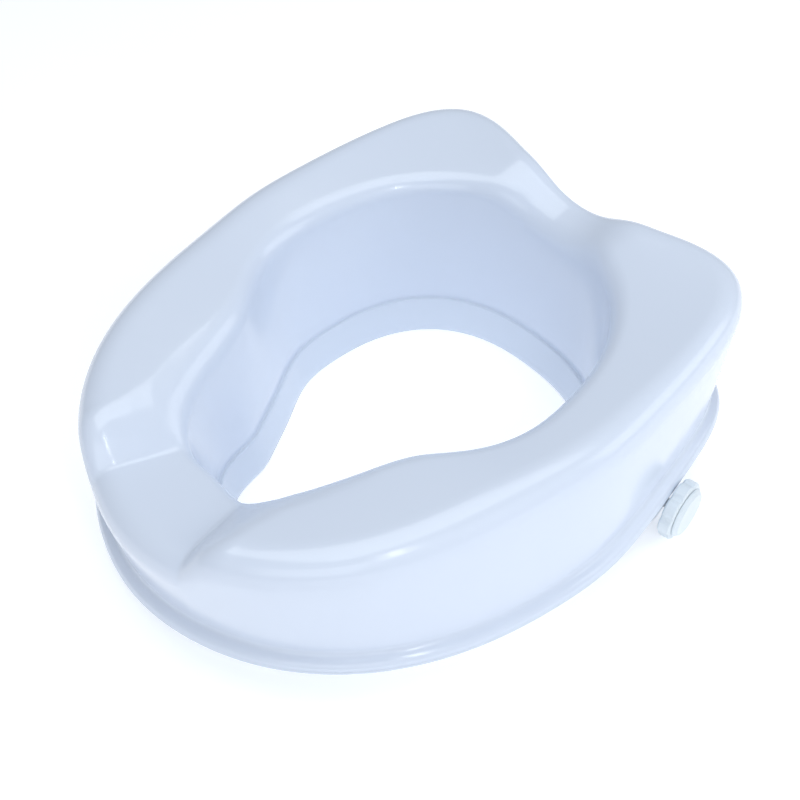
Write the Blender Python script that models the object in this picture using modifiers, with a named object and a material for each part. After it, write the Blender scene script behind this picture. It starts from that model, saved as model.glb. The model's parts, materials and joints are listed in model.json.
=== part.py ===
"""Raised toilet seat: a hollow moulded seat on a flat base, held to the bowl by two side clamps.

Metres, +Z up. The part stands on the lower edge of its splash lip, and the origin is below its
middle on that plane. -Y is the front and +X the right side as seen from the front. Outlines are
radii about a pole inside the aperture, by angle from the front; the two halves are mirror images.
"""
import math

import bmesh
import bpy
import numpy as np
from mathutils import Matrix, Vector

# Heights above the plane that the lip stands on
RIM_Z = 0.0387            # underside of the base, just above the bowl's rim
LEDGE_Z = 0.0291          # foot of the seat's inner wall
SEAT_REAR_Z = RIM_Z + 0.113
SEAT_FRONT_Z = RIM_Z + 0.0915
SEAT_HALF_DEPTH = 0.200   # the two heights above are reached this far behind and before the pole
INNER_DROP = 0.0115       # of the seat's inner edge below the slope between those heights

# Outlines: angle from the front in degrees, radius in metres
FLANGE = [(0, 0.186), (15, 0.1845), (30, 0.182), (45, 0.179), (60, 0.1765), (75, 0.176), (90, 0.1795),
          (105, 0.1885), (120, 0.2005), (135, 0.226), (150, 0.249), (165, 0.2185), (180, 0.208)]
SEAT_INNER = [(0, 0.116), (15, 0.1185), (30, 0.1055), (45, 0.0925), (60, 0.0865), (75, 0.090), (90, 0.1055),
              (105, 0.121), (120, 0.134), (135, 0.150), (150, 0.1645), (165, 0.1725), (180, 0.175)]
LIP = [(0, 0.1055), (15, 0.1005), (30, 0.092), (45, 0.0765), (60, 0.072), (75, 0.075), (90, 0.085),
       (105, 0.1035), (120, 0.120), (135, 0.1395), (150, 0.155), (165, 0.1605), (180, 0.160)]
SEAT_INSET = [(0, 0.0), (45, 0.0085), (90, 0.0177), (135, 0.0016), (180, -0.0018)]

# Dips at front and rear: depth, then half angles where floor ends and hump begins, at both edges
FRONT_DIP = dict(depth=0.021, outer=(15.5, 25), inner=(8, 47))
REAR_DIP = dict(depth=0.016, outer=(2, 14), inner=(5, 28))

# Moulding
WALL = 0.003
GAP = 0.0003
SOCKET_GAP = 0.0008        # between the inner wall and the socket it stands in
SEGMENTS = 64
OUTER_ROUND = 0.028
INNER_ROUND = 0.013
FLANGE_WIDTH = 0.0081
FLANGE_HEIGHT = 0.0065
LIP_TAPER = 0.0048
LEDGE_STEP = 0.0025
LIP_EDGE = 0.004          # upright stretch at the lip's lower edge
WALL_FOOT_RISE = 0.001    # of the inner wall's upright foot above the base's top
FLANGE_FILLET = (0.0015, 0.004)   # where the outer wall meets the flange: outwards, upwards

# Clamps, one on each side; their own frame has +X outwards and its origin at the flange's edge
CLAMP_ANGLE = 125.7       # of the clamp about the pole
CLAMP_YAW = 10            # of its axis to the cross axis
AXIS_Z = RIM_Z - 0.0148
LEG_THICKNESS = 0.005
BRACKET_WIDTH = 0.038
TAB_OUT = -0.0078         # outer face of the bracket's tab
TAB_THICKNESS = 0.006
TAB_DEPTH_RATIO = 0.95    # of the tab's rounded end: depth over half width
TAB_STEPS = 10
LEG_IN = -0.053
LEG_OVERLAP = 0.001       # of the leg into the tab that it joins
RIB_SETBACK = 0.0035      # of each rib's middle from the bracket's side
RIB_THICKNESS = 0.004
RIB_REACH = 0.012
RIB_DEPTH = 0.014
RIB_OVERLAP = 0.002       # of the ribs into the leg and the tab
TAB_BOSS_RADIUS = 0.0095
TAB_BOSS_LENGTH = 0.010
TAB_BOSS_IN = 0.003       # of the boss and its bush beyond the tab's inner face
SLOT_PITCH = 0.020
SLOT_REACH = (0.0165, 0.0065)   # of the slots inwards and outwards of their screws
SLOT_WIDTH = 0.0056
SLOT_X = -0.034
GROOVE_WIDTH = 0.013
GROOVE_DEPTH = 0.0033
BOSS_RADIUS = 0.0065
BOSS_HEIGHT = 0.016
BOSS_FLOOR = 0.003        # solid end of each boss above its screw
INSERT_RADIUS = 0.004
INSERT_LENGTH = 0.010
INSERT_RISE = 0.0045      # of the inserts above the base's underside
SLOT_SCREW_RADIUS = 0.0025
SLOT_SCREW_LENGTH = 0.0172
SLOT_SCREW_CHAMFER = 0.0006
SLOT_HEAD_RADIUS = 0.0044
SLOT_HEAD_THICKNESS = 0.0018
RECESS_SIZE = (0.0044, 0.0009, 0.0011)   # of the cross recess: length, width, depth
WASHER_RADIUS = 0.0058
WASHER_THICKNESS = 0.0009
CLAMP_SCREW_RADIUS = 0.004
CLAMP_BORE_GAP = 0.0004   # of the bush's bore around the clamp screw
SCREW_NOSE = 0.0015       # length of the clamp screw's rounded inner end
SCREW_NOSE_DROP = 0.0012
SCREW_CHAMFER = 0.0006
SCREW_IN_FOOT = 0.0035    # of the screw inside the foot
SCREW_IN_KNOB = 0.005     # of the screw inside the knob
BUSH_RADIUS = 0.0065      # of the threaded bush in the bracket's tab
KNOB_RADIUS = 0.021
KNOB_THICKNESS = 0.009
KNOB_IN = 0.0012
KNOB_LOBES = 8
KNOB_GROOVE = 0.0022
KNOB_CHAMFER = 0.0012
CAP_RADIUS = 0.0175
CAP_THICKNESS = 0.0034
CAP_CHAMFER = 0.0022
FOOT_RADIUS = 0.0088
FOOT_THICKNESS = 0.006
FOOT_OUT = -0.0255
FOOT_RUBBER = 0.003
FOOT_CHAMFER = 0.001
FOOT_BACK_CHAMFER = (0.0018, 0.003)   # inwards and along the axis
RUBBER_INSET = 0.0006     # of the rubber face inside the foot's edge
RUBBER_CHAMFER = 0.0012

# Anti-slip pads
PAD_THICKNESS = 0.005
PAD_SIZE = (0.045, 0.020)
PAD_BEVEL = 0.0012
# Angle about the pole, yaw, and setback from the flange's edge
PAD_PLACES = dict(side=(112.5, 12, 0.002), front=(40, -52, 0.008))


def clear_scene():
    for obj in list(bpy.data.objects):
        bpy.data.objects.remove(obj, do_unlink=True)


def make_collection(name):
    collection = bpy.data.collections.new(name)
    bpy.context.scene.collection.children.link(collection)
    return collection


def make_material(name, colour, roughness, metallic=0.0):
    material = bpy.data.materials.new(name)
    material.use_nodes = True
    shader = material.node_tree.nodes["Principled BSDF"]
    shader.inputs["Base Color"].default_value = (*colour, 1.0)
    shader.inputs["Roughness"].default_value = roughness
    shader.inputs["Metallic"].default_value = metallic
    return material


def finish_object(name, mesh, material, parent=None, sharp_angle=40):
    """Link a mesh as one named part, shaded smooth up to an angle."""
    obj = bpy.data.objects.new(name, mesh)
    PARTS.objects.link(obj)
    mesh.materials.clear()
    mesh.materials.append(material)
    mesh.shade_smooth()
    mesh.set_sharp_from_angle(angle=math.radians(sharp_angle))
    obj.parent = parent
    return obj


def mesh_from(bm, name):
    bmesh.ops.recalc_face_normals(bm, faces=bm.faces)
    mesh = bpy.data.meshes.new(name)
    bm.to_mesh(mesh)
    bm.free()
    return mesh


def cutter_from(bm, name, parent):
    cutter = bpy.data.objects.new(name, mesh_from(bm, name))
    CUTTERS.objects.link(cutter)
    cutter.parent = parent
    cutter.hide_render = True
    cutter.display_type = "WIRE"
    return cutter


def add_boolean(obj, cutter, operation="DIFFERENCE"):
    modifier = obj.modifiers.new(operation.lower() + "_" + cutter.name, "BOOLEAN")
    modifier.object = cutter
    modifier.operation = operation
    modifier.solver = "EXACT"


# ---- outlines and the seat's section ----

def smooth_radius(points, angles):
    """Periodic cubic spline through (angle, radius) points mirrored about the front-rear line."""
    knots = [(a, r) for a, r in points] + [(360 - a, r) for a, r in reversed(points[1:-1])]
    x = np.radians([a for a, _ in knots] + [360.0])
    y = np.array([r for _, r in knots] + [knots[0][1]])
    count = len(x) - 1
    step = np.diff(x)
    slope = np.diff(y) / step
    system = np.zeros((count, count))
    right = np.zeros(count)
    for i in range(count):
        before, after = step[i - 1], step[i]
        system[i, i - 1] += before
        system[i, i] += 2 * (before + after)
        system[i, (i + 1) % count] += after
        right[i] = 6 * (slope[i] - slope[i - 1])
    bend = np.linalg.solve(system, right)
    bend = np.append(bend, bend[0])
    index = np.clip(np.searchsorted(x, angles, side="right") - 1, 0, count - 1)
    ahead = (x[index + 1] - angles) / step[index]
    along = 1 - ahead
    curve = ((ahead ** 3 - ahead) * bend[index] + (along ** 3 - along) * bend[index + 1])
    return ahead * y[index] + along * y[index + 1] + curve * step[index] ** 2 / 6


def smooth_step(value):
    value = np.clip(value, 0, 1)
    return value * value * (3 - 2 * value)


def dip_depth(dip, edge, half_angle):
    floor_end, hump_start = dip[edge]
    return dip["depth"] * (1 - smooth_step((half_angle - floor_end) / (hump_start - floor_end)))


def outline(radius):
    """Closed loop of points, one for each angle, at the given radii about the pole."""
    return np.column_stack([radius * np.sin(ANGLES), POLE_Y - radius * np.cos(ANGLES)])


def offset(loop, distance):
    """Loop moved outwards by a distance along its own normals."""
    along = np.roll(loop, -1, axis=0) - np.roll(loop, 1, axis=0)
    along /= np.linalg.norm(along, axis=1)[:, None]
    return loop + distance * np.column_stack([along[:, 1], -along[:, 0]])


def ring(loop, height):
    return np.column_stack([loop, np.broadcast_to(height, len(loop))])


def seat_height(loop, edge):
    """Height of the seat's inner or outer edge: a slope from rear to front, less the two dips."""
    along = (loop[:, 1] - POLE_Y) / SEAT_HALF_DEPTH
    slope = (SEAT_REAR_Z + SEAT_FRONT_Z) / 2 + along * (SEAT_REAR_Z - SEAT_FRONT_Z) / 2
    if edge == "inner":
        slope = slope - INNER_DROP
    degrees = np.degrees(np.minimum(ANGLES, 2 * math.pi - ANGLES))
    return slope - dip_depth(FRONT_DIP, edge, degrees) - dip_depth(REAR_DIP, edge, 180 - degrees)


def rounded(before, corner, after, reach, count):
    """Rings of a round that starts and ends the given reach from each section's corner."""
    def towards(target):
        direction = target - corner
        length = np.linalg.norm(direction, axis=1)[:, None]
        return corner + direction / length * np.minimum(reach, 0.45 * length)
    start, end = towards(before), towards(after)
    weights = np.linspace(0, 1, count)
    return [(1 - t) ** 2 * start + 2 * t * (1 - t) * corner + t * t * end for t in weights]


def between(start, end, count):
    return [start + (end - start) * (i + 1) / (count + 1) for i in range(count)]


def add_ring_surface(name, rings, material, sharp_angle):
    """Part with an open surface through closed rings, thickened to the moulding's wall."""
    bm = bmesh.new()
    loops = [[bm.verts.new(point) for point in points] for points in rings]
    for lower, upper in zip(loops, loops[1:]):
        for i in range(SEGMENTS):
            j = (i + 1) % SEGMENTS
            bm.faces.new((lower[i], upper[i], upper[j], lower[j]))
    mesh = bpy.data.meshes.new(name)
    bm.to_mesh(mesh)
    bm.free()
    obj = finish_object(name, mesh, material, sharp_angle=sharp_angle)
    solidify = obj.modifiers.new("wall", "SOLIDIFY")
    solidify.thickness = WALL
    solidify.offset = -1
    solidify.use_even_offset = True
    solidify.use_quality_normals = True
    return obj


def build_seat_shell():
    """Upper moulding: inner wall, seat surface with its dips, outer wall and flange."""
    wall_loop = offset(LIP_LOOP, LIP_TAPER + LEDGE_STEP)
    wall_foot = ring(wall_loop, LEDGE_Z)
    wall_start = ring(wall_loop, RIM_Z + WALL + WALL_FOOT_RISE)
    inner_edge = ring(INNER_LOOP, seat_height(INNER_LOOP, "inner"))
    outer_edge = ring(OUTER_LOOP, seat_height(OUTER_LOOP, "outer"))
    flange_top = RIM_Z + FLANGE_HEIGHT
    fillet_out, fillet_up = FLANGE_FILLET
    outer_foot = ring(offset(FLANGE_LOOP, -FLANGE_WIDTH), flange_top + fillet_up)
    inner_round = rounded(wall_start, inner_edge, outer_edge, INNER_ROUND, 5)
    outer_round = rounded(inner_edge, outer_edge, outer_foot, OUTER_ROUND, 6)
    rings = [wall_foot, wall_start] + inner_round
    rings += between(inner_round[-1], outer_round[0], 2) + outer_round
    rings += [outer_foot, ring(offset(FLANGE_LOOP, -FLANGE_WIDTH + fillet_out), flange_top)]
    rings += [ring(FLANGE_LOOP, flange_top), ring(FLANGE_LOOP, RIM_Z + WALL + GAP)]
    return add_ring_surface("seat_shell", rings, SEAT_PLASTIC, 40)


def build_base_plate(clamps):
    """Lower moulding: flat web under the seat, socket for the inner wall, ledge and splash lip."""
    socket = offset(LIP_LOOP, LIP_TAPER + LEDGE_STEP + 2 * WALL + SOCKET_GAP)
    shelf = LEDGE_Z - GAP - WALL
    lip_foot = offset(LIP_LOOP, WALL)
    rings = [ring(FLANGE_LOOP, RIM_Z + WALL), ring(FLANGE_LOOP, RIM_Z)]
    rings += [ring(socket, RIM_Z), ring(socket, shelf)]
    rings += [ring(offset(LIP_LOOP, LIP_TAPER + WALL), shelf), ring(lip_foot, LIP_EDGE), ring(lip_foot, 0.0)]
    base = add_ring_surface("base_plate", rings, BASE_PLASTIC, 30)
    for side, clamp in clamps.items():
        bosses = bmesh.new()
        holes = bmesh.new()
        for y in (-SLOT_PITCH / 2, SLOT_PITCH / 2):
            middle = RIM_Z + WALL / 2 + BOSS_HEIGHT / 2
            add_cylinder(bosses, BOSS_RADIUS, BOSS_HEIGHT, (SLOT_X, y, middle), "Z", 16)
            hole_middle = middle - BOSS_FLOOR
            add_cylinder(holes, INSERT_RADIUS + GAP, BOSS_HEIGHT, (SLOT_X, y, hole_middle), "Z", 16)
        add_boolean(base, cutter_from(bosses, side + "_bosses", clamp), "UNION")
        add_boolean(base, cutter_from(holes, side + "_boss_holes", clamp))
    return base


# ---- small parts ----

def add_cylinder(bm, radius, length, centre, axis="X", segments=24, end_radius=None):
    turn = {"X": Matrix.Rotation(math.pi / 2, 4, "Y"), "Z": Matrix.Identity(4)}[axis]
    bmesh.ops.create_cone(bm, cap_ends=True, segments=segments, radius1=radius,
                          radius2=radius if end_radius is None else end_radius, depth=length,
                          matrix=Matrix.Translation(centre) @ turn)


def add_box(bm, low, high):
    low, high = Vector(low), Vector(high)
    scale = Matrix.Diagonal((*(high - low), 1.0))
    bmesh.ops.create_cube(bm, size=1.0, matrix=Matrix.Translation((low + high) / 2) @ scale)


def turned(name, profile, segments=20):
    """Mesh of a profile of (position, radius) points turned about the local X axis."""
    bm = bmesh.new()
    verts = [bm.verts.new((x, 0, r)) for x, r in profile]
    edges = [bm.edges.new(pair) for pair in zip(verts, verts[1:])]
    bmesh.ops.spin(bm, geom=verts + edges, cent=(0, 0, 0), axis=(1, 0, 0), angle=2 * math.pi,
                   steps=segments, use_merge=True)
    bmesh.ops.remove_doubles(bm, verts=bm.verts, dist=1e-6)
    return mesh_from(bm, name)


def lobed_outline(radius, groove, lobes, steps):
    """Circle whose edge has shallow rounded grooves between its lobes."""
    points = []
    for i in range(lobes * steps):
        angle = 2 * math.pi * i / (lobes * steps)
        wave = max(0.0, -math.cos(lobes * angle)) ** 1.5
        r = radius - groove * wave
        points.append((r * math.cos(angle), r * math.sin(angle)))
    return points


def build_pads():
    for place, (angle, yaw, setback) in PAD_PLACES.items():
        for side, sign in (("right", 1), ("left", -1)):
            edge = outline_point(angle, sign)
            bm = bmesh.new()
            length, width = PAD_SIZE
            low = (-setback - length, -width / 2, -PAD_THICKNESS - GAP)
            add_box(bm, low, (-setback, width / 2, -GAP))
            name = "pad_{}_{}".format(place, side)
            pad = finish_object(name, mesh_from(bm, name), RUBBER)
            pad.location = (edge.x, edge.y, RIM_Z)
            pad.rotation_euler.z = math.radians(side_yaw(yaw, sign))
            bevel = pad.modifiers.new("edges", "BEVEL")
            bevel.width = PAD_BEVEL
            bevel.segments = 2


def outline_point(angle, sign):
    """Point of the flange's edge at an angle from the front, on the right or the left side."""
    radius = float(smooth_radius(FLANGE, np.array([math.radians(angle)]))[0])
    turn = math.radians(angle)
    return Vector((sign * radius * math.sin(turn), POLE_Y - radius * math.cos(turn), 0))


def side_yaw(yaw, sign):
    return yaw if sign > 0 else 180 - yaw


def clamp_frame(side, sign):
    """Empty at the flange's edge over the clamp, its X axis pointing outwards along the screw."""
    empty = bpy.data.objects.new(side + "_clamp_frame", None)
    PARTS.objects.link(empty)
    empty.location = outline_point(CLAMP_ANGLE, sign)
    empty.rotation_euler.z = math.radians(side_yaw(CLAMP_YAW, sign))
    return empty


def build_bracket(side, clamp):
    """L-shaped bracket: a slotted leg under the base and a round-ended tab that holds the screw."""
    half = BRACKET_WIDTH / 2
    top = RIM_Z - GAP
    tab_in = TAB_OUT - TAB_THICKNESS
    bm = bmesh.new()
    outline = [(-half, top), (-half, AXIS_Z)]
    for i in range(1, TAB_STEPS):
        angle = math.pi * (1 + i / TAB_STEPS)
        outline.append((half * math.cos(angle), AXIS_Z + half * math.sin(angle) * TAB_DEPTH_RATIO))
    outline += [(half, AXIS_Z), (half, top)]
    verts = [bm.verts.new((tab_in, y, z)) for y, z in outline]
    face = bm.faces.new(verts)
    tab = bmesh.ops.extrude_face_region(bm, geom=[face])
    moved = [g for g in tab["geom"] if isinstance(g, bmesh.types.BMVert)]
    bmesh.ops.translate(bm, verts=moved, vec=(TAB_THICKNESS, 0, 0))
    bracket = finish_object(side + "_bracket", mesh_from(bm, side + "_bracket"), CLAMP_PLASTIC, clamp)
    add_bracket_leg(bracket, side, clamp)
    cut_bracket_slots(bracket, side, clamp)
    bore = bmesh.new()
    add_cylinder(bore, BUSH_RADIUS + GAP, BRACKET_WIDTH, (tab_in, 0, AXIS_Z), "X", 20)
    add_boolean(bracket, cutter_from(bore, side + "_bore", clamp))


def add_bracket_leg(bracket, side, clamp):
    """Leg under the base, two ribs between leg and tab, and the boss around the tab's bush."""
    half = BRACKET_WIDTH / 2
    top = RIM_Z - GAP
    tab_in = TAB_OUT - TAB_THICKNESS
    leg = bmesh.new()
    add_box(leg, (LEG_IN, -half, top - LEG_THICKNESS), (TAB_OUT - LEG_OVERLAP, half, top))
    add_boolean(bracket, cutter_from(leg, side + "_leg", clamp), "UNION")
    ribs = bmesh.new()
    for y in (-half + RIB_SETBACK, half - RIB_SETBACK):
        low = (tab_in - RIB_REACH, y - RIB_THICKNESS / 2, top - RIB_DEPTH)
        high = (tab_in + RIB_OVERLAP, y + RIB_THICKNESS / 2, top - RIB_OVERLAP)
        add_box(ribs, low, high)
    add_boolean(bracket, cutter_from(ribs, side + "_ribs", clamp), "UNION")
    boss = bmesh.new()
    boss_middle = tab_in - TAB_BOSS_IN + TAB_BOSS_LENGTH / 2
    add_cylinder(boss, TAB_BOSS_RADIUS, TAB_BOSS_LENGTH, (boss_middle, 0, AXIS_Z), "X", 20)
    add_boolean(bracket, cutter_from(boss, side + "_tab_boss", clamp), "UNION")


def cut_bracket_slots(bracket, side, clamp):
    """Two slots through the leg, each in a groove that the screw's head and washer run in."""
    leg_low = RIM_Z - GAP - LEG_THICKNESS
    inwards, outwards = SLOT_REACH
    slots = bmesh.new()
    grooves = bmesh.new()
    for y in (-SLOT_PITCH / 2, SLOT_PITCH / 2):
        for cut, width, high in ((slots, SLOT_WIDTH, RIM_Z + LEG_THICKNESS),
                                 (grooves, GROOVE_WIDTH, leg_low + GROOVE_DEPTH)):
            low = (SLOT_X - inwards, y - width / 2, leg_low - LEG_THICKNESS)
            add_box(cut, low, (SLOT_X + outwards, y + width / 2, high))
    add_boolean(bracket, cutter_from(grooves, side + "_slot_grooves", clamp))
    add_boolean(bracket, cutter_from(slots, side + "_slots", clamp))


def build_thread_insert(side, clamp):
    """Brass bush moulded into the tab, threaded for the clamp screw."""
    low, high = TAB_OUT - TAB_THICKNESS - TAB_BOSS_IN, TAB_OUT
    bore = CLAMP_SCREW_RADIUS + CLAMP_BORE_GAP
    insert = add_tube(side + "_thread_insert", bore, BUSH_RADIUS, low, high, clamp)
    insert.location.z = AXIS_Z


def add_tube(name, bore, radius, low, high, clamp):
    profile = [(low, bore), (low, radius), (high, radius), (high, bore), (low, bore)]
    return finish_object(name, turned(name, profile), BRASS, clamp)


def build_slot_fasteners(side, clamp):
    """Screws and washers that hold the bracket's leg, with the brass inserts they thread into."""
    washer_top = RIM_Z - LEG_THICKNESS + GROOVE_DEPTH - 2 * GAP
    head_top = washer_top - WASHER_THICKNESS - GAP
    bore = SLOT_SCREW_RADIUS + GAP
    for place, y in (("front", -SLOT_PITCH / 2), ("rear", SLOT_PITCH / 2)):
        label = place if clamp.location.x > 0 else {"front": "rear", "rear": "front"}[place]
        profile = [(0, bore), (0, WASHER_RADIUS), (-WASHER_THICKNESS, WASHER_RADIUS),
                   (-WASHER_THICKNESS, bore), (0, bore)]
        add_upright(side + "_slot_washer_" + label, profile, (SLOT_X, y, washer_top), STEEL, clamp)
        build_slot_screw(side, label, (SLOT_X, y, head_top), clamp)
        profile = [(0, bore), (0, INSERT_RADIUS), (INSERT_LENGTH, INSERT_RADIUS),
                   (INSERT_LENGTH, bore), (0, bore)]
        place_up = (SLOT_X, y, RIM_Z + INSERT_RISE)
        add_upright(side + "_boss_insert_" + label, profile, place_up, BRASS, clamp)


def build_slot_screw(side, label, place, clamp):
    """Pan-head screw with a cross recess, its head hanging below the washer."""
    head = SLOT_HEAD_THICKNESS
    chamfer = SLOT_SCREW_CHAMFER
    tip = SLOT_SCREW_LENGTH
    profile = [(tip, 0), (tip, SLOT_SCREW_RADIUS - chamfer), (tip - chamfer, SLOT_SCREW_RADIUS),
               (0, SLOT_SCREW_RADIUS), (0, SLOT_HEAD_RADIUS), (-head + chamfer, SLOT_HEAD_RADIUS),
               (-head, SLOT_HEAD_RADIUS - chamfer), (-head, 0)]
    screw = add_upright(side + "_slot_screw_" + label, profile, place, STEEL, clamp)
    recess = bmesh.new()
    length, width, depth = RECESS_SIZE
    for x, y in ((length, width), (width, length)):
        add_box(recess, (-x / 2, -y / 2, -2 * head), (x / 2, y / 2, -head + depth))
    add_boolean(screw, cutter_from(recess, side + "_recess_" + label, screw))
    screw.modifiers[-1].use_self = True


def add_upright(name, profile, place, material, clamp):
    """Turned part standing on its end: its profile's positions run upwards from its place."""
    obj = finish_object(name, turned(name, profile, 16), material, clamp, 30)
    obj.location = place
    obj.rotation_euler.y = -math.pi / 2
    return obj


def build_knob(side, clamp):
    """Lobed hand knob with a stepped face, on the end of the clamp screw."""
    bm = bmesh.new()
    edge = lobed_outline(KNOB_RADIUS, KNOB_GROOVE, KNOB_LOBES, 7)
    narrow = 1 - KNOB_CHAMFER / KNOB_RADIUS
    rows = [(0.0, narrow), (KNOB_CHAMFER, 1.0), (KNOB_THICKNESS - KNOB_CHAMFER, 1.0),
            (KNOB_THICKNESS, narrow)]
    rings = [[bm.verts.new((x, u * s, v * s)) for u, v in edge] for x, s in rows]
    for lower, upper in zip(rings, rings[1:]):
        for i in range(len(edge)):
            j = (i + 1) % len(edge)
            bm.faces.new((lower[i], lower[j], upper[j], upper[i]))
    bm.faces.new(rings[0])
    bm.faces.new(rings[-1])
    knob = finish_object(side + "_knob", mesh_from(bm, side + "_knob"), KNOB_PLASTIC, clamp, 30)
    knob.location = (KNOB_IN, 0, AXIS_Z)
    bore = bmesh.new()
    add_cylinder(bore, CLAMP_SCREW_RADIUS + GAP, 2 * SCREW_IN_KNOB, (KNOB_IN, 0, AXIS_Z), "X", 20)
    add_boolean(knob, cutter_from(bore, side + "_knob_bore", clamp))

    start = KNOB_THICKNESS + GAP
    end = start + CAP_THICKNESS
    profile = [(start, 0.0), (start, CAP_RADIUS), (end - CAP_CHAMFER, CAP_RADIUS),
               (end, CAP_RADIUS - CAP_CHAMFER), (end, 0.0)]
    name = side + "_knob_cap"
    cap = finish_object(name, turned(name, profile, 28), KNOB_PLASTIC, clamp, 30)
    cap.location = (KNOB_IN, 0, AXIS_Z)


def build_clamp_screw(side, clamp):
    """Threaded rod from the knob to the pressure foot, with a round end that the foot swivels on."""
    inner_end = FOOT_OUT - SCREW_IN_FOOT
    outer_end = KNOB_IN + SCREW_IN_KNOB - GAP
    r = CLAMP_SCREW_RADIUS
    profile = [(inner_end, 0.0), (inner_end, r - SCREW_NOSE_DROP), (inner_end + SCREW_NOSE, r),
               (outer_end - SCREW_CHAMFER, r), (outer_end, r - SCREW_CHAMFER), (outer_end, 0.0)]
    name = side + "_clamp_screw"
    screw = finish_object(name, turned(name, profile, 20), STEEL, clamp, 30)
    screw.location.z = AXIS_Z


def build_foot(side, clamp):
    """Round pressure foot on the screw's inner end, faced with rubber."""
    back = FOOT_OUT
    front = FOOT_OUT - FOOT_THICKNESS
    socket = CLAMP_SCREW_RADIUS + GAP
    deep = FOOT_OUT - SCREW_IN_FOOT - GAP
    chamfer_in, chamfer_along = FOOT_BACK_CHAMFER
    profile = [(front, 0.0), (front, FOOT_RADIUS - FOOT_CHAMFER), (front + FOOT_CHAMFER, FOOT_RADIUS),
               (back - chamfer_along, FOOT_RADIUS), (back, FOOT_RADIUS - chamfer_in),
               (back, socket), (deep, socket), (deep, 0.0)]
    name = side + "_pressure_foot"
    foot = finish_object(name, turned(name, profile), CLAMP_PLASTIC, clamp, 30)
    foot.location.z = AXIS_Z
    face = front - GAP
    radius = FOOT_RADIUS - RUBBER_INSET
    profile = [(face - FOOT_RUBBER, 0.0), (face - FOOT_RUBBER, radius - RUBBER_CHAMFER),
               (face - FOOT_RUBBER + RUBBER_CHAMFER, radius), (face, radius), (face, 0.0)]
    name = side + "_foot_rubber"
    rubber = finish_object(name, turned(name, profile), RUBBER, clamp, 30)
    rubber.location.z = AXIS_Z


def build_clamps():
    frames = {}
    for side, sign in (("right", 1), ("left", -1)):
        clamp = clamp_frame(side, sign)
        frames[side] = clamp
        build_bracket(side, clamp)
        build_thread_insert(side, clamp)
        build_slot_fasteners(side, clamp)
        build_knob(side, clamp)
        build_clamp_screw(side, clamp)
        build_foot(side, clamp)
    return frames


clear_scene()
PARTS = make_collection("raised_toilet_seat")
CUTTERS = make_collection("cutters")

ANGLES = np.arange(SEGMENTS) * 2 * math.pi / SEGMENTS
FLANGE_R = smooth_radius(FLANGE, ANGLES)
OUTER_R = FLANGE_R - smooth_radius(SEAT_INSET, ANGLES)
POLE_Y = float(FLANGE_R[0] - np.max(-np.maximum(FLANGE_R, OUTER_R) * np.cos(ANGLES))) / 2
FLANGE_LOOP = outline(FLANGE_R)
OUTER_LOOP = outline(OUTER_R)
INNER_LOOP = outline(smooth_radius(SEAT_INNER, ANGLES))
LIP_LOOP = outline(smooth_radius(LIP, ANGLES))

SEAT_PLASTIC = make_material("seat_plastic", (0.86, 0.89, 0.94), 0.12)
BASE_PLASTIC = make_material("base_plastic", (0.84, 0.87, 0.92), 0.25)
CLAMP_PLASTIC = make_material("clamp_plastic", (0.82, 0.86, 0.90), 0.35)
KNOB_PLASTIC = make_material("knob_plastic", (0.84, 0.89, 0.92), 0.32)
RUBBER = make_material("rubber", (0.75, 0.77, 0.80), 0.80)
STEEL = make_material("steel", (0.62, 0.63, 0.65), 0.30, 1.0)
BRASS = make_material("brass", (0.72, 0.55, 0.28), 0.35, 1.0)

build_seat_shell()
build_base_plate(build_clamps())
build_pads()
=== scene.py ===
"""Looks of the raised toilet seat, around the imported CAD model.

It replaces the seat and the base with finer mouldings and the clamp screws with threaded ones, softens the
other clamp parts' edges, and adds materials, floor, lights and camera. Metres, +Z up, -Y the front. Outlines
are radii about a pole inside the aperture, by angle from the front; the two halves are mirror images.
"""
import json
import math

import bmesh
import bpy
import numpy as np
from mathutils import Matrix, Vector


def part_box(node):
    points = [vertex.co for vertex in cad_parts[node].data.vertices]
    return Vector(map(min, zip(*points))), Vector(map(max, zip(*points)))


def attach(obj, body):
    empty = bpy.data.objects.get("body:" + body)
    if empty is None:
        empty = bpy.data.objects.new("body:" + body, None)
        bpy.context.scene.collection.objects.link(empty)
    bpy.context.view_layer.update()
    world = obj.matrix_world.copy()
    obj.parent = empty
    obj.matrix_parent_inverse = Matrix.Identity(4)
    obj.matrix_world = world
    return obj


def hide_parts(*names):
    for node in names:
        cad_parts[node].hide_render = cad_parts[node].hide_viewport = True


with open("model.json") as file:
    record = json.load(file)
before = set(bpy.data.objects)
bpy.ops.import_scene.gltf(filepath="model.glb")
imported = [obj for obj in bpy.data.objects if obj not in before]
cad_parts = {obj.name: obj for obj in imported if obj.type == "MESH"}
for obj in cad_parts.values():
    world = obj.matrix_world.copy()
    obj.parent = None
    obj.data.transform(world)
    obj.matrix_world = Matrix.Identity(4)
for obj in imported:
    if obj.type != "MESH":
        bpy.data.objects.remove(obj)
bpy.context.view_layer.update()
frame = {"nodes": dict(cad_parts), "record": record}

# ---- places read from the frame ----
SHELL_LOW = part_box("seat_shell")[0]
BASE_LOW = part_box("base_plate")[0]
PAD_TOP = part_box("pad_front_left")[1][2]
GAP = 0.0003
RIM_Z = PAD_TOP + GAP                # underside of the base
LEDGE_Z = SHELL_LOW[2]               # foot of the seat's inner wall

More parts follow.
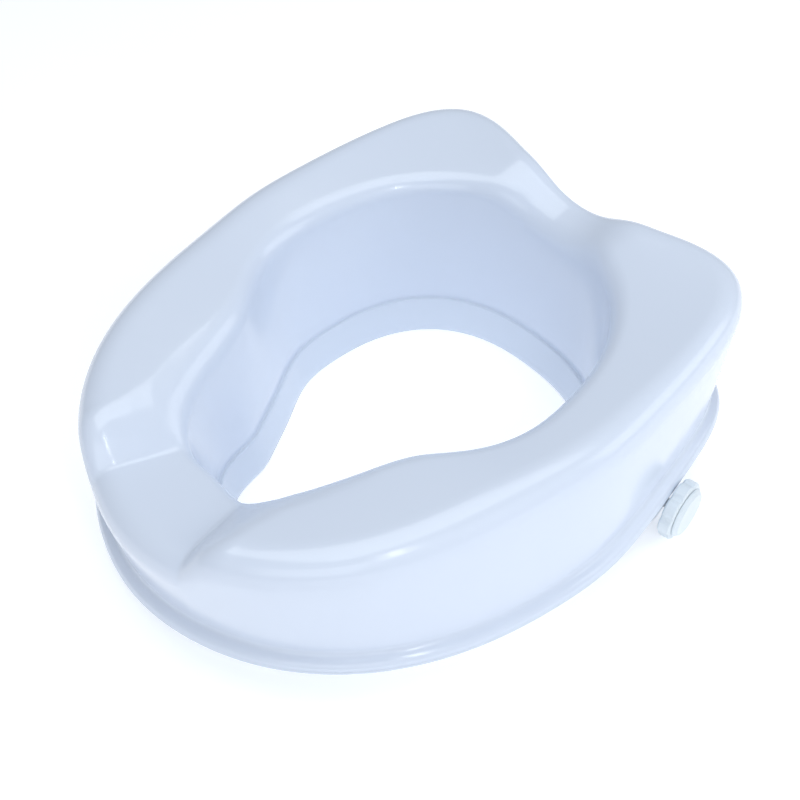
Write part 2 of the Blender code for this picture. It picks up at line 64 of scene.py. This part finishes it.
# ---- driving sizes, as the CAD model has them ----
SEAT_REAR_Z = RIM_Z + 0.113
SEAT_FRONT_Z = RIM_Z + 0.0915
SEAT_HALF_DEPTH = 0.200              # the two heights above are reached this far behind and before the pole
INNER_DROP = 0.0115                  # of the seat's inner edge below the slope between those heights
WALL = 0.003
FLANGE_WIDTH = 0.0081
FLANGE_HEIGHT = 0.0065
LIP_TAPER = 0.0048                   # of the splash lip, outwards from its foot to its top
LIP_EDGE = 0.004                     # upright stretch at the lip's lower edge
LEDGE_STEP = 0.0025                  # of the ledge between the lip's top and the inner wall
SOCKET_GAP = 0.0008                  # between the inner wall and the socket it stands in
WALL_FOOT_RISE = 0.001               # of the inner wall's upright foot above the base's top
# Outlines: angle from the front in degrees, radius in metres
FLANGE = [(0, 0.186), (15, 0.1845), (30, 0.182), (45, 0.179), (60, 0.1765), (75, 0.176), (90, 0.1795),
          (105, 0.1885), (120, 0.2005), (135, 0.226), (150, 0.249), (165, 0.2185), (180, 0.208)]
SEAT_INNER = [(0, 0.116), (15, 0.1185), (30, 0.1055), (45, 0.0925), (60, 0.0865), (75, 0.090), (90, 0.1055),
              (105, 0.121), (120, 0.134), (135, 0.150), (150, 0.1645), (165, 0.1725), (180, 0.175)]
LIP = [(0, 0.1055), (15, 0.1005), (30, 0.092), (45, 0.0765), (60, 0.072), (75, 0.075), (90, 0.085),
       (105, 0.1035), (120, 0.120), (135, 0.1395), (150, 0.155), (165, 0.1605), (180, 0.160)]
# Inset of the seat's outer top edge from the flange, by angle from the front
SEAT_INSET = [(0, 0.0), (45, 0.0085), (90, 0.0177), (135, 0.0016), (180, -0.0018)]

# ---- the seat moulding's own rounds, finer than the CAD model's ----
OUTER_ROUND = 0.023
# Reach of the inner edge's round, by angle from the front
INNER_ROUND = [(0, 0.007), (14, 0.008), (26, 0.015), (52, 0.016), (70, 0.014), (90, 0.0125), (180, 0.0125)]
INSIDE_ROUND_RATIO = 0.8             # of the hidden side's rounds to the seen side's
FOOT_FILLET = 0.0030                 # where the outer wall meets the flange
FLANGE_RISE = (0.0045, 0.0010)       # of the flange's foot and its rounded edge over the CAD flange's top
CREST_IN = 0.0008                    # of the flange's rounded edge, inwards
EDGE_IN = 0.0005                     # of the flange's lower edge, inwards: the seam between the mouldings
EDGE_RISE = 0.0006                   # of the flange's widest line from that seam
LEDGE_FILLET = (0.0010, 0.0016)      # at the inner wall's foot: inwards, upwards
LEDGE_GAP = 0.00006                  # under that foot
ROOF_RISE = 0.0001                   # of the flange's hidden roof over a full wall's thickness
INSIDE_FOOT_RISE = 0.004             # of the outer wall's hidden foot over the flange
OUTER_CORNER = (2 * WALL, 2.5 * WALL)     # hidden corner, inwards of and below the top's outer edge
INNER_CORNER = (1.3 * WALL, 1.5 * WALL)   # hidden corner, outwards of and below its inner edge

# ---- the base moulding's own rounds ----
RIM_ROUND = 0.0013                   # the base's outer lower edge
SOCKET_ROUND = 0.0015                # where the underside turns up into the socket's wall
SHELF_ROUND = 0.002                  # where that wall meets the ledge's underside
LIP_ROOT_ROUND = 0.0022              # where the ledge's underside turns down into the lip
LEDGE_ROUND = 0.0012                 # the ledge's inner edge
TIP_ROUND = (0.0004, 0.0012)         # of the lip's lower edge: inwards or upwards, and the round's full height
LIP_INNER_FOOT = 0.005               # height of the lip's inner face where its taper starts

# ---- soft corners: cubic curves whose handles lie on the corner's two sides ----
HANDLE = 0.62                        # length of a handle, over the way from the curve's end to the corner
EDGE_HANDLE = 0.72                   # the same on the flange's edge, which is rounder
EDGE_START = 0.25                    # share of the fillet's last stretch before that edge starts
MOST_OF_SIDE = 0.47                  # largest share of a side that a round may take
MOST_OF_TOP = 0.45                   # largest share of the seat's width that a round may take
TOP_STEP = 0.02                      # share of the seat's width over which its slope is measured

# ---- the dips: half angle from the dip's middle to the floor's foot and to the hump's crest, by radius ----
# The CAD model has straight-sided dips, and a front one 0.5 mm shallower
FRONT_DIP = dict(depth=0.0215, foot=[(0.105, 9), (0.125, 14), (0.200, 14.8)],
                 crest=[(0.080, 58), (0.090, 49), (0.100, 41), (0.110, 35), (0.120, 30), (0.130, 26),
                        (0.145, 23), (0.160, 21.2), (0.200, 20.4)],
                 foot_soft=0.08, crest_soft=0.60)
REAR_DIP = dict(depth=0.016, foot=[(0.150, 22), (0.157, 14), (0.165, 9), (0.180, 5), (0.210, 3.5)],
                crest=[(0.150, 42), (0.157, 27), (0.165, 19), (0.180, 15), (0.210, 13)],
                foot_soft=0.40, crest_soft=0.35)

# ---- the seat's angular steps: (up to this angle from the front, step), finer along the dips' sides ----
ANGLE_STEPS = [(9, 1.5), (26, 0.5), (54, 1.0), (138, 2.0), (180, 0.75)]

# Clamp screws, in the clamp's frame: +X outwards, its origin at the flange's edge
SCREW_IN = -0.0290
SCREW_OUT = 0.0059
SCREW_RADIUS = 0.004
SCREW_SIDES = 28
SCREW_NOSE = 0.0015                  # length of the rounded inner end
THREAD_PITCH = 0.00125
THREAD_DEPTH = 0.00068
THREAD_ROWS = 8                      # rings per turn
SCREW_NOSE_RATIO = 0.72              # of the nose's flat end to the rod's radius
THREAD_ROOT = 0.12                   # half width of the thread's flat root, in half pitches
THREAD_FLANK = 0.70                  # width of its flank, in half pitches

SHARP_ANGLE = 48                     # degrees; sharper edges aren't smooth-shaded
BEVEL_ANGLE = 35                     # degrees; sharper edges of the clamp parts are softened
SEAT_BODY = "seat"

# Round on the edges of each carried-over clamp part
SOFT_EDGES = {"_bracket": 0.0007, "_knob": 0.0006, "_knob_cap": 0.0007, "_pressure_foot": 0.0004,
              "_foot_rubber": 0.0004, "_slot_screw_front": 0.0002, "_slot_screw_rear": 0.0002,
              "_thread_insert": 0.0003}

# ---- stage, light and camera ----
FLOOR_SIZE = 4.0
FLOOR_GLOW = 0.33
WORLD_COLOUR = (0.90, 0.93, 1.0)
WORLD_STRENGTH = 0.40
LIGHT_TARGET = (0, 0, 0.08)
# Studio lights: name, place, size, power, colour
LIGHTS = [
    ("right", (1.6, -0.3, 0.9), (1.2, 1.0), 1.3, (0.98, 0.99, 1.0)),
    ("front_right", (1.1, -1.3, 0.9), (1.2, 1.0), 5.0, (0.93, 0.97, 1.0)),
    ("back_right", (1.2, 1.1, 0.9), (1.2, 1.0), 6.6, (0.95, 0.98, 1.0)),
    ("above", (0.0, 0.0, 1.8), (1.4, 1.4), 12.6, (0.93, 0.98, 1.0)),
    ("glint", (0.90, -0.34, 0.98), (0.08, 0.45), 1.3, (0.96, 0.98, 1.0)),
]
CAMERA_TURN = (50.0, 47.73, -2.0)    # azimuth, elevation and roll in degrees
CAMERA_LENS = 54.69
CAMERA_DISTANCE = 0.8544
CAMERA_AIM = (-0.0128, 0.0428)       # point it looks at, across and behind the pole, at the rim's height


# ---- outlines ----

def smooth_radius(points, angles):
    """Periodic cubic spline through (angle, radius) points mirrored about the front-rear line."""
    knots = list(points) + [(360 - a, r) for a, r in reversed(points[1:-1])]
    x = np.radians([a for a, _ in knots] + [360.0])
    y = np.array([r for _, r in knots] + [knots[0][1]])
    count = len(x) - 1
    step = np.diff(x)
    slope = np.diff(y) / step
    system = np.zeros((count, count))
    right = np.zeros(count)
    for i in range(count):
        system[i, i - 1] += step[i - 1]
        system[i, i] += 2 * (step[i - 1] + step[i])
        system[i, (i + 1) % count] += step[i]
        right[i] = 6 * (slope[i] - slope[i - 1])
    bend = np.linalg.solve(system, right)
    bend = np.append(bend, bend[0])
    index = np.clip(np.searchsorted(x, angles, side="right") - 1, 0, count - 1)
    ahead = (x[index + 1] - angles) / step[index]
    along = 1 - ahead
    curve = (ahead ** 3 - ahead) * bend[index] + (along ** 3 - along) * bend[index + 1]
    return ahead * y[index] + along * y[index + 1] + curve * step[index] ** 2 / 6


def seat_angles():
    """Angles all round in radians, the same on both halves."""
    half = [0.0]
    for end, step in ANGLE_STEPS:
        count = round((end - half[-1]) / step)
        half += [half[-1] + (end - half[-1]) * (i + 1) / count for i in range(count)]
    return np.radians(half + [360 - a for a in reversed(half[1:-1])])


ANGLES = seat_angles()
FLANGE_R = smooth_radius(FLANGE, ANGLES)
POLE_Y = BASE_LOW[1] + FLANGE_R[0]   # the flange's foremost point is its front one


def outline(radius):
    """Loop of points from radii about the pole."""
    return np.column_stack([radius * np.sin(ANGLES), POLE_Y - radius * np.cos(ANGLES)])


FLANGE_LOOP = outline(FLANGE_R)
OUTER_LOOP = outline(FLANGE_R - smooth_radius(SEAT_INSET, ANGLES))
INNER_LOOP = outline(smooth_radius(SEAT_INNER, ANGLES))
INNER_REACH = np.interp(np.degrees(np.minimum(ANGLES, 2 * math.pi - ANGLES)), *zip(*INNER_ROUND))
LIP_LOOP = outline(smooth_radius(LIP, ANGLES))


def offset(loop, distance):
    """Loop moved outwards by a distance along its own normals."""
    along = np.roll(loop, -1, axis=0) - np.roll(loop, 1, axis=0)
    along /= np.linalg.norm(along, axis=1)[:, None]
    return loop + distance * np.column_stack([along[:, 1], -along[:, 0]])


def ring(loop, height):
    """Loop lifted to a height, or to one height per point."""
    return np.column_stack([loop, np.broadcast_to(height, len(loop))])


def soft_ramp(value, width):
    """max(0, value), with its bend rounded over the width on either side."""
    bend = (value + width) ** 2 / (4 * width)
    return np.where(value < -width, 0, np.where(value > width, value, bend))


def dip_depth(dip, radius, half_angle):
    """Depth of a dip at a radius and an angle from its middle: full on its floor, 0 beyond its crest."""
    foot = np.interp(radius, *zip(*dip["foot"]))
    crest = np.interp(radius, *zip(*dip["crest"]))
    climb = (half_angle - foot) / (crest - foot)
    ramp = soft_ramp(climb, dip["foot_soft"]) - soft_ramp(climb - 1, dip["crest_soft"])
    return dip["depth"] * (1 - ramp)


def seat_points(share):
    """Ring on the seat's top: share 0 at the inner edge, 1 at the outer edge."""
    share = np.broadcast_to(share, ANGLES.shape)
    loop = INNER_LOOP + (OUTER_LOOP - INNER_LOOP) * share[:, None]
    x, y = loop[:, 0], loop[:, 1] - POLE_Y
    middle = (SEAT_REAR_Z + SEAT_FRONT_Z) / 2
    slope = middle + y / SEAT_HALF_DEPTH * (SEAT_REAR_Z - SEAT_FRONT_Z) / 2
    radius = np.hypot(x, y)
    degrees = np.degrees(np.arctan2(np.abs(x), -y))
    dips = dip_depth(FRONT_DIP, radius, degrees) + dip_depth(REAR_DIP, radius, 180 - degrees)
    return ring(loop, slope - INNER_DROP * (1 - share) - dips)


# ---- mesh helpers ----

def towards(corner, target, reach):
    """Ring a reach away from the corner on the way to the target."""
    direction = target - corner
    length = np.linalg.norm(direction, axis=1)[:, None]
    return corner + direction / length * np.minimum(reach, MOST_OF_SIDE * length)


def part_way(start, end, share=HANDLE):
    """Ring a share of the way from one ring to another."""
    return start + (end - start) * share


def rounded(before, corner, after, reach, count):
    """Rings of a soft round at a corner, from one side to the other."""
    start, end = towards(corner, before, reach), towards(corner, after, reach)
    return cubic(start, part_way(start, corner), part_way(end, corner), end, count)


def cubic(start, first, second, end, count):
    """Rings along a cubic curve between two rings, with a handle at each."""
    rings = []
    for t in np.linspace(0, 1, count):
        u = 1 - t
        rings.append(u ** 3 * start + 3 * u * u * t * first + 3 * u * t * t * second + t ** 3 * end)
    return rings


def edge_round(side, inner, reach, count):
    """Round from a wall, given as a ring further along it, onto the seat's top at its inner or outer edge."""
    reach = np.broadcast_to(reach, ANGLES.shape)
    width = np.linalg.norm(OUTER_LOOP - INNER_LOOP, axis=1)
    share, step = np.minimum(reach / width, MOST_OF_TOP), TOP_STEP
    if not inner:
        share, step = 1 - share, -step
    corner = seat_points(0.0 if inner else 1.0)
    end, beyond = seat_points(share), seat_points(share + step)
    direction = (end - beyond) / np.linalg.norm(end - beyond, axis=1)[:, None]
    second = end + direction * HANDLE * np.linalg.norm(corner - end, axis=1)[:, None]
    start = towards(corner, side, reach[:, None])
    return cubic(start, part_way(start, corner), second, end, count), share


def between(start, end, count):
    """Evenly spaced rings between two rings, without them."""
    return [start + (end - start) * (i + 1) / (count + 1) for i in range(count)]


def new_object(name, mesh, material, body):
    """Smooth-shaded piece that rides on a body."""
    obj = bpy.data.objects.new(name, mesh)
    bpy.context.scene.collection.objects.link(obj)
    mesh.materials.append(material)
    mesh.shade_smooth()
    mesh.set_sharp_from_angle(angle=math.radians(SHARP_ANGLE))
    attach(obj, body)
    return obj


def finished_mesh(name, bm):
    """Mesh with its normals outwards; the bmesh is freed."""
    bmesh.ops.recalc_face_normals(bm, faces=bm.faces)
    mesh = bpy.data.meshes.new(name)
    bm.to_mesh(mesh)
    bm.free()
    return mesh


def ring_mesh(name, rings):
    """Closed band through rings, whose last ring joins the first."""
    bm = bmesh.new()
    loops = [[bm.verts.new(point) for point in points] for points in rings]
    count = len(loops[0])
    for lower, upper in zip(loops, loops[1:] + loops[:1]):
        for i in range(count):
            j = (i + 1) % count
            bm.faces.new((lower[i], upper[i], upper[j], lower[j]))
    return finished_mesh(name, bm)


# ---- the two mouldings ----

def seat_rings():
    """Rings of the seat's section: up the inner wall, over the top, down the outer wall and back inside."""
    wall_loop = offset(LIP_LOOP, LIP_TAPER + LEDGE_STEP)
    foot_loop = offset(FLANGE_LOOP, -FLANGE_WIDTH)
    wall_start = ring(wall_loop, RIM_Z + WALL + WALL_FOOT_RISE)
    flange_top = RIM_Z + FLANGE_HEIGHT
    seam = RIM_Z + WALL + GAP
    inner_round, inner_share = edge_round(wall_start, True, INNER_REACH, 15)
    outer_round, outer_share = edge_round(ring(foot_loop, flange_top), False, OUTER_ROUND, 19)
    outer_round.reverse()

    foot_rise, crest_rise = FLANGE_RISE
    foot = ring(foot_loop, flange_top + foot_rise)
    crest = ring(offset(FLANGE_LOOP, -CREST_IN), flange_top + crest_rise)
    low_edge = ring(FLANGE_LOOP, seam + EDGE_RISE)
    outer_side = rounded(outer_round[-1], foot, crest, FOOT_FILLET, 9)
    edge_start = part_way(outer_side[-1], crest, EDGE_START)
    edge = cubic(edge_start, part_way(edge_start, crest, EDGE_HANDLE), part_way(low_edge, crest, EDGE_HANDLE),
                 low_edge, 11)

    inwards, upwards = LEDGE_FILLET
    toe = ring(offset(wall_loop, -inwards), LEDGE_Z)
    heel = ring(wall_loop, LEDGE_Z)
    top = ring(wall_loop, LEDGE_Z + upwards)
    rings = cubic(toe, part_way(toe, heel), part_way(top, heel), top, 7)
    rings += between(rings[-1], wall_start, 3) + [wall_start]
    rings += between(wall_start, inner_round[0], 7) + inner_round
    top_steps = 15
    rings += [seat_points(inner_share + (outer_share - inner_share) * i / top_steps) for i in range(1, top_steps)]
    rings += outer_round + between(outer_round[-1], outer_side[0], 8) + outer_side
    rings += edge + [ring(offset(FLANGE_LOOP, -EDGE_IN), seam)]
    return rings + seat_inside(wall_loop, foot_loop, flange_top, seam)


def seat_inside(wall_loop, foot_loop, flange_top, seam):
    """Rings of the moulding's hidden side, about a wall's thickness inside the seen one."""
    def under_top(share):
        return seat_points(share) - (0, 0, WALL)
    inner_flange, inner_foot = offset(FLANGE_LOOP, -WALL), offset(foot_loop, -WALL)
    roof = flange_top - WALL + ROOF_RISE
    outer_wall = ring(inner_foot, flange_top + INSIDE_FOOT_RISE)
    inner_wall = ring(offset(wall_loop, WALL), RIM_Z + WALL + WALL_FOOT_RISE)
    inwards, down = OUTER_CORNER
    outer_corner = ring(offset(OUTER_LOOP, -inwards), seat_points(1.0)[:, 2] - down)
    outwards, down = INNER_CORNER
    inner_corner = ring(offset(INNER_LOOP, outwards), seat_points(0.0)[:, 2] - down)
    rings = [ring(inner_flange, seam), ring(inner_flange, roof), ring(inner_foot, roof), outer_wall]
    rings += rounded(outer_wall, outer_corner, under_top(0.5), OUTER_ROUND * INSIDE_ROUND_RATIO, 5)
    rings += [under_top(0.7), under_top(0.5), under_top(0.3)]
    rings += rounded(under_top(0.5), inner_corner, inner_wall, INNER_REACH[:, None] * INSIDE_ROUND_RATIO, 5)
    return rings + [inner_wall, ring(offset(wall_loop, WALL), LEDGE_Z), ring(wall_loop, LEDGE_Z)]


def base_rings():
    """Rings of the base's section: outer edge, underside, socket, lip and ledge, then up inside the socket."""
    far = 0.01                # well along a side: rounded() needs only its direction
    socket = offset(LIP_LOOP, LIP_TAPER + LEDGE_STEP + 2 * WALL + SOCKET_GAP)
    lip_outer, lip_top = offset(LIP_LOOP, WALL), offset(LIP_LOOP, LIP_TAPER)
    web_top = RIM_Z + WALL
    shelf_top = LEDGE_Z - LEDGE_GAP
    shelf = shelf_top - WALL
    lip_foot = ring(lip_outer, LIP_EDGE)
    tip, tip_height = TIP_ROUND

    rings = [ring(offset(FLANGE_LOOP, -EDGE_IN), web_top), ring(FLANGE_LOOP, web_top - EDGE_RISE)]
    edge = rounded(ring(FLANGE_LOOP, web_top), ring(FLANGE_LOOP, RIM_Z), ring(offset(FLANGE_LOOP, -far), RIM_Z),
                   RIM_ROUND, 5)
    rings += edge + between(edge[-1], ring(socket, RIM_Z), 6)
    rings += rounded(ring(offset(socket, far), RIM_Z), ring(socket, RIM_Z), ring(socket, shelf), SOCKET_ROUND, 4)
    rings += rounded(ring(socket, RIM_Z), ring(socket, shelf), ring(offset(socket, -far), shelf),
                     SHELF_ROUND, 5)
    rings += rounded(ring(offset(lip_top, far), shelf), ring(offset(lip_top, WALL), shelf), lip_foot,
                     LIP_ROOT_ROUND, 5)
    rings += between(rings[-1], lip_foot, 3)
    rings += [lip_foot, ring(lip_outer, tip_height)]
    rings += [ring(offset(LIP_LOOP, WALL - tip), tip), ring(offset(LIP_LOOP, WALL / 2), 0.0)]
    rings += [ring(offset(LIP_LOOP, tip), tip), ring(LIP_LOOP, tip_height), ring(LIP_LOOP, LIP_INNER_FOOT)]
    ledge_edge = ring(lip_top, shelf_top)
    rings += between(rings[-1], ledge_edge, 4)
    rings += rounded(rings[-1], ledge_edge, ring(offset(lip_top, far), shelf_top), LEDGE_ROUND, 7)
    return rings + [ring(offset(socket, -WALL), shelf_top), ring(offset(socket, -WALL), web_top)]


def build_seat(material):
    mesh = ring_mesh("seat_moulding", seat_rings())
    obj = new_object("seat_moulding", mesh, material, SEAT_BODY)
    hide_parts("seat_shell")


def build_base(material):
    mesh = ring_mesh("base_moulding", base_rings())
    obj = new_object("base_moulding", mesh, material, SEAT_BODY)
    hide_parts("base_plate")


# ---- clamp screws and edges ----

def thread_height(turns):
    """Height of the thread, 0 at the root and 1 at the crest, by turns along it."""
    phase = abs((turns % 1.0) - 0.5) * 2
    return min(1.0, max(0.0, (phase - THREAD_ROOT) / THREAD_FLANK))


def screw_mesh(name):
    """Rod along X with a rounded inner end and a right-hand thread, which fades out at that end."""
    step = THREAD_PITCH / THREAD_ROWS
    rows = int((SCREW_OUT - SCREW_IN) / step)
    bm = bmesh.new()
    loops = []
    for row in range(rows + 1):
        x = SCREW_IN + (SCREW_OUT - SCREW_IN) * row / rows
        end = min(1.0, (x - SCREW_IN) / SCREW_NOSE)
        full = SCREW_RADIUS * (SCREW_NOSE_RATIO + (1 - SCREW_NOSE_RATIO) * math.sqrt(1 - (1 - end) ** 2))
        fade = min(1.0, max(0.0, (x - SCREW_IN) / SCREW_NOSE - 1.0))
        loop = []
        for i in range(SCREW_SIDES):
            turn = i / SCREW_SIDES
            radius = full - THREAD_DEPTH * fade * (1 - thread_height(x / THREAD_PITCH - turn))
            angle = 2 * math.pi * turn
            loop.append(bm.verts.new((x, radius * math.cos(angle), radius * math.sin(angle))))
        loops.append(loop)
    for lower, upper in zip(loops, loops[1:]):
        for i in range(SCREW_SIDES):
            j = (i + 1) % SCREW_SIDES
            bm.faces.new((lower[i], lower[j], upper[j], upper[i]))
    bm.faces.new(loops[0])
    bm.faces.new(loops[-1])
    return finished_mesh(name, bm)


def build_screw(side, material):
    """Threaded screw on its knob's axis, in place of the plain one."""
    joint = next(j for j in frame["record"]["behaviour"]["joints"] if j["name"] == side + "_knob_turn")
    name = side + "_screw_thread"
    obj = new_object(name, screw_mesh(name), material, side + "_handscrew")
    turn = Vector(joint["axis"]).to_track_quat("X", "Z").to_matrix().to_4x4()
    obj.matrix_world = Matrix.Translation(joint["pos_m"]) @ turn
    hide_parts(side + "_clamp_screw")


def soften(node, width):
    """Small round on a carried-over part's sharp edges."""
    obj = frame["nodes"][node]
    bevel = obj.modifiers.new("edges", "BEVEL")
    bevel.width = width
    bevel.segments = 3
    bevel.limit_method = "ANGLE"
    bevel.angle_limit = math.radians(BEVEL_ANGLE)
    bevel.harden_normals = True


# ---- materials ----

def principled(name, colour, roughness, metallic=0.0):
    """New material, its node tree and its shader."""
    material = bpy.data.materials.new(name)
    material.use_nodes = True
    shader = material.node_tree.nodes["Principled BSDF"]
    shader.inputs["Base Color"].default_value = (*colour, 1)
    shader.inputs["Roughness"].default_value = roughness
    shader.inputs["Metallic"].default_value = metallic
    return material, material.node_tree, shader


def add_noise(tree, scale, detail=2.0, stretch=None):
    """Noise in the piece's own coordinates, drawn out by the stretch."""
    coords = tree.nodes.new("ShaderNodeTexCoord")
    noise = tree.nodes.new("ShaderNodeTexNoise")
    noise.inputs["Scale"].default_value = scale
    noise.inputs["Detail"].default_value = detail
    if stretch is None:
        tree.links.new(coords.outputs["Object"], noise.inputs["Vector"])
    else:
        mapping = tree.nodes.new("ShaderNodeMapping")
        mapping.inputs["Scale"].default_value = stretch
        tree.links.new(coords.outputs["Object"], mapping.inputs["Vector"])
        tree.links.new(mapping.outputs["Vector"], noise.inputs["Vector"])
    return noise.outputs["Fac"]


def spread(tree, value, low, high):
    """Maps a noise value's middle range onto low..high."""
    node = tree.nodes.new("ShaderNodeMapRange")
    node.inputs["From Min"].default_value = 0.3
    node.inputs["From Max"].default_value = 0.7
    node.inputs["To Min"].default_value = low
    node.inputs["To Max"].default_value = high
    tree.links.new(value, node.inputs["Value"])
    return node.outputs["Result"]


def two_tone(tree, value, first, second):
    """Colour between two tones, by a noise value."""
    mix = tree.nodes.new("ShaderNodeMix")
    mix.data_type = "RGBA"
    mix.inputs["A"].default_value = (*first, 1)
    mix.inputs["B"].default_value = (*second, 1)
    tree.links.new(spread(tree, value, 0, 1), mix.inputs["Factor"])
    return mix.outputs["Result"]


def add_bump(tree, shader, height, distance):
    bump = tree.nodes.new("ShaderNodeBump")
    bump.inputs["Distance"].default_value = distance
    bump.inputs["Strength"].default_value = 1.0
    tree.links.new(height, bump.inputs["Height"])
    tree.links.new(bump.outputs["Normal"], shader.inputs["Normal"])


def moulded_plastic(name, light, shade, roughness, bump_distance, grain=180.0, coat=0.0):
    """Moulded plastic: faint flow clouds in the colour, uneven gloss and a slight ripple."""
    material, tree, shader = principled(name, light, roughness)
    clouds = add_noise(tree, 9.0, 3.0)
    tree.links.new(two_tone(tree, clouds, light, shade), shader.inputs["Base Color"])
    gloss = add_noise(tree, 45.0, 4.0)
    tree.links.new(spread(tree, gloss, roughness * 0.8, roughness * 1.25), shader.inputs["Roughness"])
    add_bump(tree, shader, add_noise(tree, grain, 2.0), bump_distance)
    shader.inputs["IOR"].default_value = 1.5
    shader.inputs["Coat Weight"].default_value = coat
    shader.inputs["Coat Roughness"].default_value = 0.07
    return material


def metal_material(name, light, shade, roughness):
    """Metal in two faint tones with fine scratches along one direction."""
    material, tree, shader = principled(name, light, roughness, 1.0)
    tree.links.new(two_tone(tree, add_noise(tree, 120.0, 4.0), light, shade), shader.inputs["Base Color"])
    scratches = add_noise(tree, 400.0, 3.0, (1, 1, 12))
    tree.links.new(spread(tree, scratches, roughness * 0.7, roughness * 1.4), shader.inputs["Roughness"])
    add_bump(tree, shader, scratches, 0.00004)
    return material


def assign(node, material):
    """Material on a carried-over CAD piece."""
    for slot in frame["nodes"][node].material_slots:
        slot.material = material


# ---- stage, light and camera ----

def build_stage():
    mesh = bpy.data.meshes.new("floor")
    half = FLOOR_SIZE / 2
    mesh.from_pydata([(-half, -half, 0), (half, -half, 0), (half, half, 0), (-half, half, 0)], [], [(0, 1, 2, 3)])
    floor = bpy.data.objects.new("floor", mesh)
    bpy.context.scene.collection.objects.link(floor)
    material, _, shader = principled("floor_white", (0.93, 0.94, 0.96), 0.9)
    shader.inputs["Emission Color"].default_value = (1, 1, 1, 1)
    shader.inputs["Emission Strength"].default_value = FLOOR_GLOW
    mesh.materials.append(material)


def area_light(name, place, size, power, colour):
    data = bpy.data.lights.new(name, "AREA")
    data.shape = "RECTANGLE"
    data.size, data.size_y = size
    data.energy = power
    data.color = colour
    lamp = bpy.data.objects.new(name, data)
    bpy.context.scene.collection.objects.link(lamp)
    lamp.location = place
    lamp.rotation_euler = (Vector(LIGHT_TARGET) - Vector(place)).to_track_quat("-Z", "Y").to_euler()


def build_light():
    world = bpy.data.worlds.new("studio")
    bpy.context.scene.world = world
    world.use_nodes = True
    background = world.node_tree.nodes["Background"]
    background.inputs["Color"].default_value = (*WORLD_COLOUR, 1)
    background.inputs["Strength"].default_value = WORLD_STRENGTH
    for light in LIGHTS:
        area_light(*light)


def build_camera():
    """Camera at an azimuth and elevation about its aim, rolled about its own axis."""
    azimuth, elevation, roll = (math.radians(v) for v in CAMERA_TURN)
    back = Vector((math.sin(azimuth) * math.cos(elevation), -math.cos(azimuth) * math.cos(elevation),
                   math.sin(elevation)))
    right = Vector((math.cos(azimuth), math.sin(azimuth), 0))
    up = back.cross(right)
    turned_right = right * math.cos(roll) + up * math.sin(roll)
    turned_up = up * math.cos(roll) - right * math.sin(roll)
    data = bpy.data.cameras.new("camera")
    data.sensor_width = 36.0
    data.lens = CAMERA_LENS
    camera = bpy.data.objects.new("camera", data)
    bpy.context.scene.collection.objects.link(camera)
    across, behind = CAMERA_AIM
    place = Vector((across, POLE_Y + behind, RIM_Z)) + back * CAMERA_DISTANCE
    turn = Matrix((turned_right, turned_up, back)).transposed().to_4x4()
    camera.matrix_world = Matrix.Translation(place) @ turn
    bpy.context.scene.camera = camera


# ---- put together ----

seat_plastic = moulded_plastic("seat_gloss", (0.705, 0.775, 0.895), (0.695, 0.765, 0.89), 0.19, 0.00002, coat=0.2)
base_plastic = moulded_plastic("base_gloss", (0.70, 0.77, 0.88), (0.69, 0.76, 0.87), 0.16, 0.00002)
clamp_plastic = moulded_plastic("clamp_satin", (0.68, 0.74, 0.82), (0.66, 0.72, 0.80), 0.38, 0.00008, 700.0)
knob_plastic = moulded_plastic("knob_satin", (0.77, 0.84, 0.89), (0.75, 0.82, 0.87), 0.34, 0.00006, 700.0)
rubber = moulded_plastic("pad_rubber", (0.62, 0.65, 0.69), (0.54, 0.57, 0.61), 0.75, 0.0002, 900.0)
steel = metal_material("zinc_steel", (0.62, 0.64, 0.66), (0.52, 0.54, 0.57), 0.30)
brass = metal_material("turned_brass", (0.72, 0.55, 0.28), (0.62, 0.46, 0.22), 0.32)

build_seat(seat_plastic)
build_base(base_plastic)
for side in ("left", "right"):
    build_screw(side, steel)
for node, width in SOFT_EDGES.items():
    for side in ("left", "right"):
        soften(side + node, width)

BY_SLOT = {"clamp_plastic": clamp_plastic, "knob_plastic": knob_plastic, "rubber": rubber, "steel": steel,
           "brass": brass}
for part in frame["record"]["subparts"]:
    if part["material_slot"] in BY_SLOT:
        assign(part["node"], BY_SLOT[part["material_slot"]])

build_stage()
build_light()
build_camera()
bpy.context.scene.view_settings.view_transform = "Standard"
